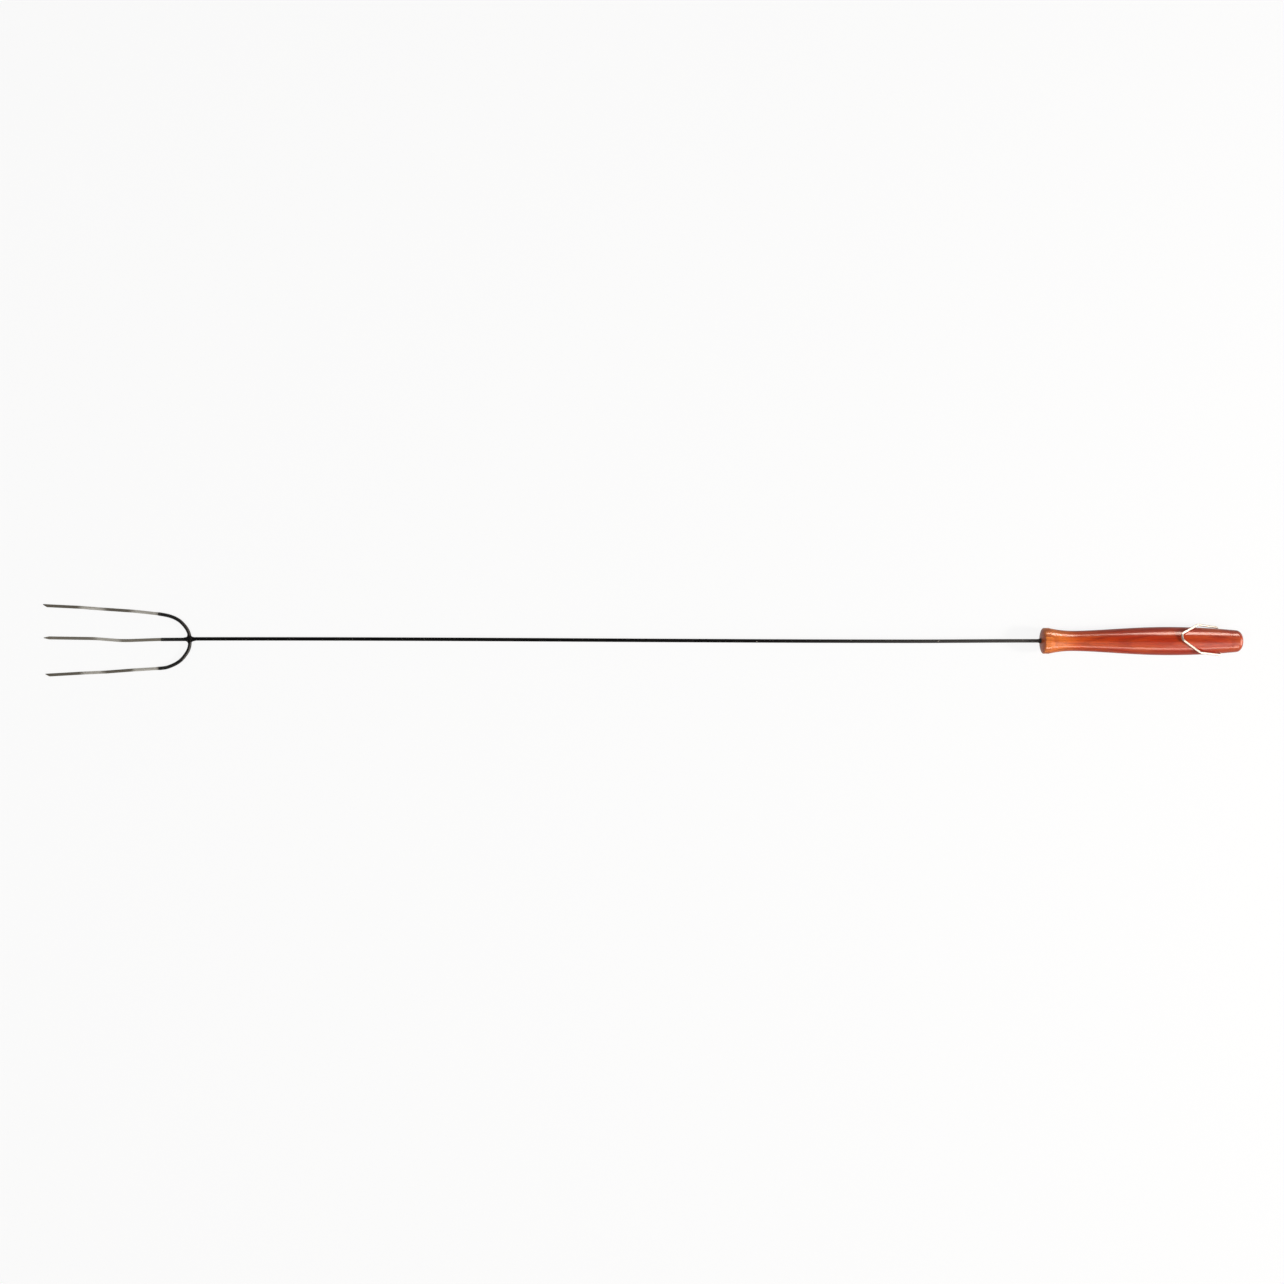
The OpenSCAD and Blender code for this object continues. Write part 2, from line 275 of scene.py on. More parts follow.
# Outer tines: one wire, bent into a U at its middle, its tips cut off at a slant.
def outerTinesPiece():
    t = tineSizes
    radius = t["wire"] / 2
    crossX = -rodSizes["length"]
    upperTip = (crossX - t["upper"], t["tipSpread"] / 2 - t["tipShift"])
    lowerTip = (crossX - t["lower"], -t["tipSpread"] / 2 - t["tipShift"])
    upperCorner = (crossX, t["baseSpread"] / 2 - t["baseShift"])
    lowerCorner = (crossX, -t["baseSpread"] / 2 - t["baseShift"])
    upperLeg = waved(upperCorner, upperTip, t["upperWaves"])[::-1]
    lowerLeg = waved(lowerCorner, lowerTip, t["lowerWaves"])
    corners = [upperTip, *upperLeg, upperCorner, lowerCorner, *lowerLeg, lowerTip]
    runs = np.diff(np.array(corners), axis=0)
    headings = np.unwrap(np.arctan2(runs[:, 1], runs[:, 0]))
    turns = np.abs(np.diff(headings))
    at = len(upperLeg)
    # both corners of the U share the radius that fills the spread between them
    uBend = (t["baseSpread"] - t["crossFlat"]) / np.tan(turns[at:at + 2] / 2).sum()
    bends = [t["waveBend"]] * len(corners)
    bends[at + 1] = bends[at + 2] = uBend
    line = thinned(*bentLine(corners, bends, 0.00015), 0.00015, 0.0012)
    line = swayed(line, t["uSpan"], t["uSway"])
    total = line[2][-1]

    # The ring is a circle, and near each tip a flat takes away what lies below a slope that
    # rises from the blunt edge. Points past the angle where the flat meets the circle are spread
    # evenly over the flat.
    def section(along, angle):
        across, up = radius * np.cos(angle), radius * np.sin(angle)
        fromTip = np.minimum(along, total - along)
        slope = (t["wire"] - t["edge"]) / t["cut"]
        side = np.where(along < total / 2, 1.0, -1.0)  # the points stand on the upper side
        height = np.clip(radius - t["edge"] - fromTip * slope, -radius, radius)
        meets = np.arccos(height / radius)
        turn = np.arccos(np.clip(side * np.cos(angle), -1, 1))
        share = (math.pi - turn) / np.maximum(math.pi - meets, 1e-9)
        flatUp = np.copysign(np.sqrt(radius ** 2 - height ** 2) * share, up)
        cut = turn > meets
        return np.where(cut, height * side, across) * coat, np.where(cut, flatUp, up) * coat

    coat = painted(line, radius, steelLook["paintEdge"])
    return wirePiece("outer_tines_wire", line, section, 32, laidDown, 30)


# Centre tine: a nearly straight wire whose tip is ground to a wedge from both sides.
def centreTinePiece():
    t = tineSizes
    radius = t["wire"] / 2
    start = (-rodSizes["length"] - radius - t["rootGap"], 0.0)
    tip = (-rodSizes["length"] - t["centre"], t["centreTip"])
    corners = [start, *waved(start, tip, t["centreWaves"]), tip]
    line = thinned(*bentLine(corners, [t["waveBend"]] * len(corners), 0.00015), 0.00015, 0.0012)
    total = line[2][-1]

    # The ring is a circle whose width is cut down to a straight taper near the tip.
    def section(along, angle):
        across, up = radius * np.cos(angle), radius * np.sin(angle)
        half = t["edge"] / 2 + (total - along) * (radius - t["edge"] / 2) / t["wedge"]
        half = np.minimum(half, radius)
        return np.clip(across, -half, half) * coat, up * coat

    coat = painted(line, radius, steelLook["centreEdge"])
    return wirePiece("centre_tine_wire", line, section, 32, laidDown, 30)


# Shaft: a rod that sways in one slow cosine wave, two ears pinched out of it at the handle, and a pointed tang.
def shaftPiece():
    r = rodSizes
    radius = r["wire"] / 2
    startX = -r["length"] + tineSizes["wire"] / 2 + tineSizes["rootGap"]
    far = np.arange(startX, -r["earFront"] * 1.6, 0.004)
    ears = np.arange(far[-1] + 0.0003, r["earBack"] + 0.002, 0.00015)
    tang = np.arange(ears[-1] + 0.004, r["tang"] - r["tangPoint"], 0.004)
    x = np.concatenate([far, ears, tang, [r["tang"] - r["tangPoint"], r["tang"]]])
    share = (x / r["length"] + 1 - r["swayCrest"]) / (r["swayTrough"] - r["swayCrest"])
    off = r["sway"] * np.cos(math.pi * share) * easeBetween(-x, 0, r["swayEnd"])
    points = np.stack([x, off], -1)
    facing = np.arctan(np.gradient(off, x))

    # A circle drawn out sideways and pressed flat where the ears are, and tapered at the point.
    def section(along, angle):
        at = along + startX
        spread = easeBetween(at, -r["earFront"], 0) * (at <= r["earBack"])
        pressed = easeBetween(at, -r["earFront"] * 1.4, -r["earFront"] * 0.3) * (at <= r["earBack"])
        coat = paintThickness["rod"] * (1 - easeBetween(at, -r["earFront"], 0))
        halfWide = radius + coat + (r["earWidth"] / 2 - radius) * spread
        halfHigh = radius + coat + (r["earThickness"] / 2 * 1.25 - radius) * pressed
        taper = 1 - (1 - r["pointWire"] / r["wire"]) * np.clip((at - r["tang"]) / r["tangPoint"] + 1, 0, 1)
        return halfWide * taper * np.cos(angle), halfHigh * taper * np.sin(angle)

    return wirePiece("shaft_rod", (points, facing, x - startX), section, 40, laidDown)


# Weld bead: a ball round the crossing with a hollow fillet along each wire. Every point lies on
# its own ray from the middle; along a wire at an angle whose tangent is height / distance the
# ray meets the fillet, and the parts are joined as the twelfth root of the sum of twelfth powers.
# The whole is pressed flat a little.
def weldPiece():
    w, t = weldSizes, tineSizes
    polar = np.linspace(0, math.pi, 122)[1:-1, None]
    turn = np.linspace(0, 2 * math.pi, 180, endpoint=False)[None, :]
    ray = np.stack([np.sin(polar) * np.cos(turn), np.sin(polar) * np.sin(turn),
                    np.cos(polar) + 0 * turn], -1)
    power = 12
    ball = w["blob"] / 2 + paintThickness["tines"]
    total = (ball + 0 * ray[..., 0]) ** power
    lean = 0.163  # the cross wire has bent away by this angle where the upper fillet ends
    arms = [((1, 0), rodSizes["wire"] / 2, w["reach"]), ((-1, 0), t["wire"] / 2, w["reach"]),
            ((-math.sin(lean), math.cos(lean)), t["wire"] / 2, w["side"]),
            ((-math.sin(0.022), -math.cos(0.022)), t["wire"] / 2, w["side"])]
    for direction, wire, reach in arms:
        distance = np.linspace(ball * 0.3, reach, 80)
        height = wire + paintThickness["tines"] + w["rise"] * (1 - distance / reach) ** 1.5 - 0.00025 * (distance / reach) ** 4
        cosine = np.clip(ray[..., 0] * direction[0] + ray[..., 1] * direction[1], 1e-6, 1)
        tangent = np.sqrt(1 - cosine ** 2) / cosine
        met = np.interp(tangent.ravel(), (height / distance)[::-1], distance[::-1]).reshape(tangent.shape)
        total = total + np.where(tangent < (height / distance)[0], met / cosine, 0) ** power
    reach = total ** (1 / power)
    ripple = np.sin(ray[..., 0] * 13 + 2 * np.sin(ray[..., 1] * 3)) + 0.5 * np.sin(ray[..., 1] * 11 + 3)
    reach = reach + w["ripple"] * ripple * (reach < ball * 1.25)
    middle = np.array([-rodSizes["length"], w["aside"], 0])
    pressed = np.array([1, 1, w["flat"]])
    rings = laidDown(ray * reach[..., None] * pressed + middle)
    top = laidDown(middle + [0, 0, reach[0].mean() * w["flat"]])
    bottom = laidDown(middle - [0, 0, reach[-1].mean() * w["flat"]])
    return ringMesh("weld_blob", rings, top, bottom, sharp=80)


# Radius of the handle behind its front rounding: lip, hollow to the waist (a square), swell to
# the belly (a power of a cosine wave), taper to the tail (a square), and a rear end rounded as
# part of a super-ellipse, less two narrow bell-shaped rings.
def handleRadius(x):
    h = handleSizes
    hollow = h["waist"] + (h["lip"] - h["waist"]) * (1 - (x - h["lipLength"]) / (h["waistAt"] - h["lipLength"])) ** 2
    wave = (1 - np.cos(math.pi * np.clip((x - h["waistAt"]) / (h["bellyAt"] - h["waistAt"]), 0, 1))) / 2
    swell = h["waist"] + (h["belly"] - h["waist"]) * wave ** h["swellPower"]
    taper = h["belly"] - (h["belly"] - h["tail"]) * ((x - h["bellyAt"]) / (h["length"] - h["tailRound"] - h["bellyAt"])) ** 2
    body = np.select([x < h["lipLength"], x < h["waistAt"], x < h["bellyAt"]], [h["lip"], hollow, swell], taper)
    rear = np.clip((x - h["length"] + h["tailRound"]) / h["tailRound"], 0, 1)
    radius = body / 2 * (1 - rear ** 2.6) ** (1 / 2.6)
    for ring in h["ringsAt"]:
        radius = radius - h["ringDepth"] * np.exp(-((x - ring) / (h["ringWidth"] / 2)) ** 2)
    return radius


# Handle: the turned outline carried round the axis, starting at the bottom of the tang's hole.
# The front is a super-ellipse of the fourth power on a face that bulges as a square. Round each
# end of the hole for the bail the grid is drawn into circles: a point at a square distance c from
# the middle moves to the circle of radius c, fully at the hole and less with distance, and the
# cells inside the hole give way to its wall.
def handlePiece():
    h, r = handleSizes, rodSizes
    sides = 144
    angle = np.arange(sides) * 2 * math.pi / sides
    bore = r["wire"] / 2 + 0.00003
    boreEnd = r["tang"] + 0.002
    slotWide, slotHigh = r["earWidth"] / 2 + 0.00003, r["earThickness"] / 2 + 0.00003
    slot = np.minimum(slotWide / np.maximum(np.abs(np.cos(angle)), 1e-6),
                      slotHigh / np.maximum(np.abs(np.sin(angle)), 1e-6))
    mouth = np.maximum(bore, slot)
    wall = [(boreEnd, np.full(sides, bore)), (r["earBack"] + 0.0001, np.full(sides, bore)),
            (r["earBack"], mouth), (0.0006, mouth), (0.0002, mouth + 0.00005), (0.0, mouth + 0.0003)]
    lip = h["lip"] / 2
    rounding = np.concatenate([np.linspace(0, 0.85, 16)[1:], 0.85 + 0.15 * np.sin(np.linspace(0, math.pi / 2, 14))[1:]])
    depth = h["frontRound"] * (1 - (1 - rounding ** 4) ** 0.25) + h["frontDome"] * rounding ** 2
    face = [(x, mouth + 0.0003 + (lip - mouth - 0.0003) * s) for x, s in zip(depth, rounding)]
    frontEnd = h["frontRound"] + h["frontDome"]
    quarter = 1 - np.cos(np.linspace(0, math.pi / 2, 16))
    step = 0.0004
    pivotAt, hole = h["pivotAt"], bailSizes["wire"] / 2 + bailSizes["holeFit"]
    count = round((h["length"] - h["tailRound"] - frontEnd) / step)
    body = frontEnd + (h["length"] - h["tailRound"] - frontEnd) * np.arange(1, count) / count
    body = body + (pivotAt - body[np.abs(body - pivotAt).argmin()]) * easeBetween(body, 0.1, 0.15)
    outline = np.concatenate([body, h["length"] - h["tailRound"] * quarter[::-1][:-1]])
    rows = wall + face + [(x, np.full(sides, handleRadius(np.array(x)))) for x in outline]
    atX = np.array([row[0] for row in rows])[:, None] + np.zeros(sides)
    radius = np.array([row[1] for row in rows])
    turned = np.broadcast_to(angle, atX.shape).copy()
    keep = np.ones((len(rows) - 1, sides), bool)
    first = len(wall) + len(face)
    middle = first + int(np.abs(outline - pivotAt).argmin())
    axisAngle = -turnAngle
    local = float(handleRadius(np.array(pivotAt)))
    loops = []
    reachRows, reachSides = 3, 2
    for end in (0, 1):
        target = (axisAngle + end * math.pi) % (2 * math.pi)
        centre = int(round(target / (2 * math.pi) * sides)) % sides
        # the columns near the hole shift a little so that one of them passes through it
        off = (angle - target + math.pi) % (2 * math.pi) - math.pi
        nearest = off[centre]
        shift = -nearest * (1 - easeBetween(np.abs(off), 0.15, 0.6))
        rowWeight = 1 - easeBetween(np.abs(atX[:, :1] - pivotAt), 0.003, 0.012)
        rowWeight[:first] = 0
        around = (off + shift * rowWeight) * local
        along = atX - pivotAt
        halfRows = outline[middle - first + reachRows] - pivotAt
        halfSides = reachSides * 2 * math.pi / sides * local
        square = np.maximum(np.abs(along) / halfRows, np.abs(around) / halfSides)
        round_ = np.hypot(along, around)
        pull = 1 - easeBetween(square, 1.0, 4.0)
        pull[:first] = 0
        scale = np.where(round_ > 1e-9, square * hole / np.maximum(round_, 1e-9), 1)
        ahead, aside = along * scale, around * scale
        wide = np.abs(off)[None, :] < 1.0
        pull = pull * wide
        atX = atX + (ahead - along) * pull
        moved = (target + (around + (aside - around) * pull) / local)
        turned = np.where(wide, moved, turned)
        keep[middle - reachRows:middle + reachRows,
             (centre + np.arange(-reachSides, reachSides)) % sides] = False
        i = np.concatenate([np.full(2 * reachSides, -reachRows), np.arange(-reachRows, reachRows),
                            np.full(2 * reachSides, reachRows), np.arange(reachRows, -reachRows, -1)])
        j = np.concatenate([np.arange(-reachSides, reachSides), np.full(2 * reachRows, reachSides),
                            np.arange(reachSides, -reachSides, -1), np.full(2 * reachRows, -reachSides)])
        loops.append((middle + i) * sides + (centre + j) % sides)
    outer = np.arange(len(rows)) >= first
    surface = handleRadius(np.clip(atX, 0, h["length"]))  # points that moved stay on the outline
    near = outer[:, None] & (np.abs(atX - pivotAt) < 0.02)
    radius = np.where(near, surface, radius)
    points = np.stack([atX, radius * np.cos(turned), radius * np.sin(turned)], -1)
    # wall of the cross hole: rings between the two loops, matched by their angle about the hole
    flat = points.reshape(-1, 3)
    hinge = np.array([0, math.cos(axisAngle), math.sin(axisAngle)])
    side = np.array([0, -math.sin(axisAngle), math.cos(axisAngle)])
    ordered = []
    for loop in loops:
        turn = np.arctan2((flat[loop] - [pivotAt, 0, 0]) @ side, flat[loop][:, 0] - pivotAt)
        ordered.append(loop[np.argsort(turn)])
    n = len(ordered[0])
    depth = np.array([0.0004, 0.003])
    starts, ends = flat[ordered[0]], flat[ordered[1]]
    inward = [starts - hinge * d for d in depth] + [ends + hinge * d for d in depth[::-1]]
    inner = laidDown(np.array(inward))

    def wallQuads(base):
        levels = [ordered[0]] + [base + k * n + np.arange(n) for k in range(len(inward))] + [ordered[1]]
        strips = [np.stack([a, np.roll(a, -1), np.roll(b, -1), b], -1) for a, b in zip(levels, levels[1:])]
        return np.concatenate(strips)[:, ::-1]

    rings = laidDown(points)
    start, stop = laidDown([boreEnd, 0, 0]), laidDown([h["length"], 0, 0])
    return ringMesh("handle_wood", rings, start, stop, sharp=40, keep=keep, extra=(inner, wallQuads))


# Bail: wire from one foot in the handle round to the other, drawn flat and then turned up by
# the rest angle, round the handle by the hole's turn, and moved to the hole.
def bailPiece():
    b = bailSizes
    radius = b["wire"] / 2
    surface = float(handleRadius(np.array(handleSizes["pivotAt"])))
    footIn = surface - b["foot"]
    footOut = surface + b["footGap"] + b["footBend"]
    half = [(-b["length"], b["crown"] / 2), (-b["leg"], footOut + b["flare"] / 2), (0, footOut), (0, footIn)]
    corners = half[::-1] + [(x, -y) for x, y in half]
    bends = [0, b["footBend"], b["bend"], b["bend"], b["bend"], b["bend"], b["footBend"], 0]
    line = bentLine(corners, bends, 0.00025)

    def place(points):
        c, s = math.cos(restAngle), math.sin(restAngle)
        x, y, z = points[..., 0], points[..., 1], points[..., 2]
        x, z = x * c + z * s, z * c - x * s
        c, s = math.cos(turnAngle), math.sin(turnAngle)
        y, z = y * c + z * s, z * c - y * s
        return laidDown(np.stack([x + handleSizes["pivotAt"], y, z], -1))

    total = line[2][-1]

    # A circle, with a small bevel round the two cut ends.
    def section(along, angle):
        fromEnd = np.minimum(along, total - along)
        bevel = radius * (0.8 + 0.2 * easeBetween(fromEnd, 0, 0.0004))
        return bevel * np.cos(angle), bevel * np.sin(angle)

    return wirePiece("bail_wire", line, section, 32, place)


# Node helpers: a value goes into a socket as it is, another socket is linked to it.
def put(tree, kind, inputs=None, **settings):
    made = tree.nodes.new(kind)
    for key, value in settings.items():
        setattr(made, key, value)
    for key, value in (inputs or {}).items():
        if isinstance(value, bpy.types.NodeSocket):
            tree.links.new(value, made.inputs[key])
        else:
            made.inputs[key].default_value = value
    return made


def maths(tree, operation, a, b=0.0, c=0.0, clamp=False):
    return put(tree, "ShaderNodeMath", {0: a, 1: b, 2: c}, operation=operation, use_clamp=clamp).outputs[0]


def blended(tree, factor, a, b):
    return put(tree, "ShaderNodeMix", {0: factor, 2: a, 3: b}, data_type="FLOAT").outputs[0]


def tinted(tree, factor, a, b, mode="MIX"):
    mix = put(tree, "ShaderNodeMix", {0: factor, 6: a, 7: b}, data_type="RGBA", blend_type=mode)
    return mix.outputs[2]


def ranged(tree, value, low, high, start=0.0, stop=1.0):
    made = put(tree, "ShaderNodeMapRange", {0: value, 1: low, 2: high, 3: start, 4: stop},
               interpolation_type="SMOOTHSTEP")
    return made.outputs[0]


def stretched(tree, vector, scale):
    return put(tree, "ShaderNodeMapping", {"Vector": vector, "Scale": scale}).outputs[0]


def noise(tree, vector, scale, detail=3.0, roughness=0.5, distortion=0.0):
    made = put(tree, "ShaderNodeTexNoise", {"Vector": vector, "Scale": scale, "Detail": detail,
                                            "Roughness": roughness, "Distortion": distortion})
    return made.outputs[0]


def newGroup(name, inputs, outputs):
    tree = bpy.data.node_groups.new(name, "ShaderNodeTree")
    for label, kind, value in inputs:
        socket = tree.interface.new_socket(name=label, in_out="INPUT", socket_type=kind)
        if value is not None:
            socket.default_value = value
    for label, kind in outputs:
        tree.interface.new_socket(name=label, in_out="OUTPUT", socket_type=kind)
    return tree, tree.nodes.new("NodeGroupInput"), tree.nodes.new("NodeGroupOutput")


def useGroup(tree, group, inputs):
    made = tree.nodes.new("ShaderNodeGroup")
    made.node_tree = group
    for key, value in inputs.items():
        if isinstance(value, bpy.types.NodeSocket):
            tree.links.new(value, made.inputs[key])
        else:
            made.inputs[key].default_value = value
    return made.outputs


floatSocket, vectorSocket, colorSocket = "NodeSocketFloat", "NodeSocketVector", "NodeSocketColor"


# Marks of use: broad smudges, fine scratches along the piece and a height for both.
def makeHandling():
    tree, given, result = newGroup("handlingMarks", [
        ("Vector", vectorSocket, None), ("Size", floatSocket, 0.012), ("Scratches", floatSocket, 0.5)],
        [("Smudge", floatSocket), ("Scratch", floatSocket), ("Height", floatSocket)])
    perSize = maths(tree, "DIVIDE", 1.0, given.outputs["Size"])
    smudge = noise(tree, given.outputs["Vector"], perSize, 4, 0.6)
    smudge = ranged(tree, smudge, 0.35, 0.68)
    thin = stretched(tree, given.outputs["Vector"], (140, 2600, 2600))
    line = noise(tree, thin, 1.0, 2, 0.5, 0.3)
    line = ranged(tree, line, 0.66, 0.74)
    patch = ranged(tree, noise(tree, given.outputs["Vector"], 90.0, 2), 0.45, 0.62)
    scratch = maths(tree, "MULTIPLY", maths(tree, "MULTIPLY", line, patch), given.outputs["Scratches"])
    height = maths(tree, "SUBTRACT", maths(tree, "MULTIPLY", smudge, 0.15), scratch)
    for label, value in (("Smudge", smudge), ("Scratch", scratch), ("Height", height)):
        tree.links.new(value, result.inputs[label])
    return tree


# A coat of paint: how far it covers from an edge with a ragged border, and chips in it.
def makeCoverage():
    tree, given, result = newGroup("paintCover", [
        ("Vector", vectorSocket, None), ("Along", floatSocket, 0.0), ("Edge", floatSocket, 0.0),
        ("Ragged", floatSocket, 0.003), ("Chips", floatSocket, 0.3)],
        [("Cover", floatSocket), ("Rim", floatSocket)])
    wander = noise(tree, given.outputs["Vector"], 240.0, 3, 0.6)
    wander = maths(tree, "MULTIPLY", maths(tree, "SUBTRACT", wander, 0.5), given.outputs["Ragged"])
    beyond = maths(tree, "SUBTRACT", maths(tree, "ADD", given.outputs["Along"], wander), given.outputs["Edge"])
    cover = ranged(tree, beyond, -0.0006, 0.0006)
    speck = noise(tree, given.outputs["Vector"], 900.0, 2, 0.6)
    nearEdge = ranged(tree, beyond, 0.0, 0.03, 0.12, 0.0)
    limit = maths(tree, "SUBTRACT", 0.80, maths(tree, "ADD", nearEdge, maths(tree, "MULTIPLY", given.outputs["Chips"], 0.12)))
    chip = ranged(tree, maths(tree, "SUBTRACT", speck, limit), 0.0, 0.02)
    cover = maths(tree, "MULTIPLY", cover, maths(tree, "SUBTRACT", 1.0, chip))
    rim = ranged(tree, maths(tree, "ABSOLUTE", beyond), 0.0, 0.002, 1.0, 0.0)
    tree.links.new(cover, result.inputs["Cover"])
    tree.links.new(rim, result.inputs["Rim"])
    return tree


# Streaks drawn out along the first axis: lines of a drawn wire, or fibres of wood.
def makeStreaks():
    tree, given, result = newGroup("drawnStreaks", [
        ("Vector", vectorSocket, None), ("Length", floatSocket, 0.02), ("Width", floatSocket, 0.0003)],
        [("Broad", floatSocket), ("Fine", floatSocket)])
    inverse = put(tree, "ShaderNodeCombineXYZ", {
        0: maths(tree, "DIVIDE", 1.0, given.outputs["Length"]),
        1: maths(tree, "DIVIDE", 1.0, given.outputs["Width"]),
        2: maths(tree, "DIVIDE", 1.0, given.outputs["Width"])}).outputs[0]
    scaled = put(tree, "ShaderNodeVectorMath", {0: given.outputs["Vector"], 1: inverse},
                 operation="MULTIPLY").outputs[0]
    broad = noise(tree, stretched(tree, scaled, (0.5, 0.22, 0.22)), 1.0, 3, 0.55)
    fine = noise(tree, scaled, 1.0, 2, 0.6)
    tree.links.new(broad, result.inputs["Broad"])
    tree.links.new(fine, result.inputs["Fine"])
    return tree


handlingMarks, paintCover, drawnStreaks = makeHandling(), makeCoverage(), makeStreaks()


def newMaterial(name):
    material = bpy.data.materials.new(name)
    material.use_nodes = True
    tree = material.node_tree
    shader = next(n for n in tree.nodes if n.type == "BSDF_PRINCIPLED")
    coords = put(tree, "ShaderNodeTexCoord")
    return material, tree, shader, coords.outputs["Object"]


def feed(tree, shader, **sockets):
    for label, value in sockets.items():
        socket = shader.inputs[label.replace("_", " ")]
        if isinstance(value, bpy.types.NodeSocket):
            tree.links.new(value, socket)
        else:
            socket.default_value = value


def bumped(tree, height, distance, strength=1.0):
    return put(tree, "ShaderNodeBump", {"Height": height, "Distance": distance, "Strength": strength}).outputs[0]


paintLook = {
    "black": (0.002, 0.002, 0.0023, 1),
    "worn": (0.005, 0.0049, 0.0047, 1),
    "handledSheen": (0.052, 0.05, 0.048, 1),  # paler towards the hand: a painted sheen of the lamps on the rod, partly paint rubbed dull
    "handledSheenFrom": (0.1, 0.34),
    "roughness": 0.36,
    "gloss": 0.1,
    "peel": 0.0011,                     # size of the waves in the paint
}

steelLook = {
    "pale": (0.84, 0.81, 0.73, 1),
    "dark": (0.195, 0.175, 0.14, 1),    # scale left by the fire
    "centreDark": (0.30, 0.275, 0.225, 1),
    "rust": (0.16, 0.085, 0.045, 1),
    "roughness": 0.4,
    "paintEdge": -0.4450,               # where the paint on the outer tines ends
    "centreEdge": -0.4422,              # and on the centre one
    # middle and half width of the pale stretches on the tines: a painted reflection of the slopes of the bent wire
    "outerSheenBands": ((-0.5060, 0.0108), (-0.4572, 0.0125)),
    "centreSheenBands": ((-0.4912, 0.0118),),
}


# Colour and gloss of the black paint, shared by the rod, the weld and the base of the tines.
def paintedParts(tree, place, pattern):
    p = paintLook
    marks = useGroup(tree, handlingMarks, {"Vector": pattern, "Size": 0.016, "Scratches": 0.6})
    colour = tinted(tree, marks["Smudge"], p["black"], p["worn"])
    x = put(tree, "ShaderNodeSeparateXYZ", {0: place}).outputs[0]
    # the rod turns paler grey towards the handle: a painted sheen of the lamps, partly paint rubbed dull by the hand
    colour = tinted(tree, ranged(tree, x, *p["handledSheenFrom"]), colour, p["handledSheen"])
    roughness = maths(tree, "ADD", blended(tree, marks["Smudge"], p["roughness"], p["roughness"] + 0.14),
                      maths(tree, "MULTIPLY", marks["Scratch"], 0.2))
    peel = noise(tree, pattern, 1 / p["peel"], 2, 0.5)
    height = maths(tree, "ADD", maths(tree, "MULTIPLY", peel, 0.6), marks["Height"])
    return colour, roughness, height, x


# Black paint over steel, with a few small chips.
def paintMaterial(name, useStraight):
    material, tree, shader, place = newMaterial(name)
    pattern = place
    if useStraight:
        pattern = put(tree, "ShaderNodeAttribute", attribute_name="straight").outputs["Vector"]
    colour, roughness, height, x = paintedParts(tree, place, pattern)
    cover = useGroup(tree, paintCover, {"Vector": pattern, "Along": x, "Edge": -1.0, "Chips": 0.55})
    metal = maths(tree, "SUBTRACT", 1.0, cover["Cover"])
    feed(tree, shader, Base_Color=tinted(tree, metal, colour, steelLook["pale"]), Metallic=metal,
         Roughness=roughness, Specular_IOR_Level=paintLook["gloss"], Normal=bumped(tree, height, 0.00004))
    return material


# Steel wire: drawn streaks, dark fire scale with pale bands of painted reflection, a little rust, paint at its base.
def tineMaterial(name, sheenBandsAt, scale, paintEdge):
    s = steelLook
    material, tree, shader, place = newMaterial(name)
    pattern = put(tree, "ShaderNodeAttribute", attribute_name="straight").outputs["Vector"]
    colour, roughness, height, x = paintedParts(tree, place, pattern)
    cover = useGroup(tree, paintCover, {"Vector": pattern, "Along": x, "Edge": paintEdge, "Chips": 0.45})
    streaks = useGroup(tree, drawnStreaks, {"Vector": pattern, "Length": 0.03, "Width": 0.00035})
    wander = maths(tree, "MULTIPLY", maths(tree, "SUBTRACT", noise(tree, place, 55.0, 3), 0.5), 0.012)
    at = maths(tree, "ADD", x, wander)
    # pale bands at the listed places, lighter, smoother and a little more metallic: a painted reflection of the slopes
    # of the bent wire
    paleSheen = 0.0
    for middle, half in sheenBandsAt:
        off = maths(tree, "ABSOLUTE", maths(tree, "SUBTRACT", at, middle))
        band = ranged(tree, off, half * 0.6, half * 1.3, 1.0, 0.0)
        paleSheen = maths(tree, "MAXIMUM", paleSheen, band)
    paleSheen = maths(tree, "MULTIPLY", paleSheen, ranged(tree, streaks["Broad"], 0.25, 0.5, 0.6, 1.0))
    steel = tinted(tree, paleSheen, scale, s["pale"])
    steel = tinted(tree, ranged(tree, streaks["Fine"], 0.3, 0.7, 0.0, 0.35), steel, (0.09, 0.08, 0.07, 1))
    spots = ranged(tree, noise(tree, pattern, 420.0, 4, 0.7), 0.6, 0.72, 0.0, 0.7)
    steel = tinted(tree, spots, steel, s["rust"])
    steelRough = maths(tree, "ADD", ranged(tree, paleSheen, 0.0, 1.0, s["roughness"] + 0.14, s["roughness"]),
                       maths(tree, "MULTIPLY", spots, 0.25))
    steelHeight = maths(tree, "ADD", maths(tree, "MULTIPLY", streaks["Fine"], 0.5), maths(tree, "MULTIPLY", spots, 0.5))
    feed(tree, shader,
         Base_Color=tinted(tree, cover["Cover"], steel, colour),
         Metallic=maths(tree, "MULTIPLY", ranged(tree, paleSheen, 0.0, 1.0, 0.4, 0.5), maths(tree, "SUBTRACT", 1.0, cover["Cover"])),
         Roughness=blended(tree, cover["Cover"], steelRough, roughness),
         Normal=bumped(tree, maths(tree, "ADD", blended(tree, cover["Cover"], steelHeight, height), cover["Cover"]), 0.00004))
    return material


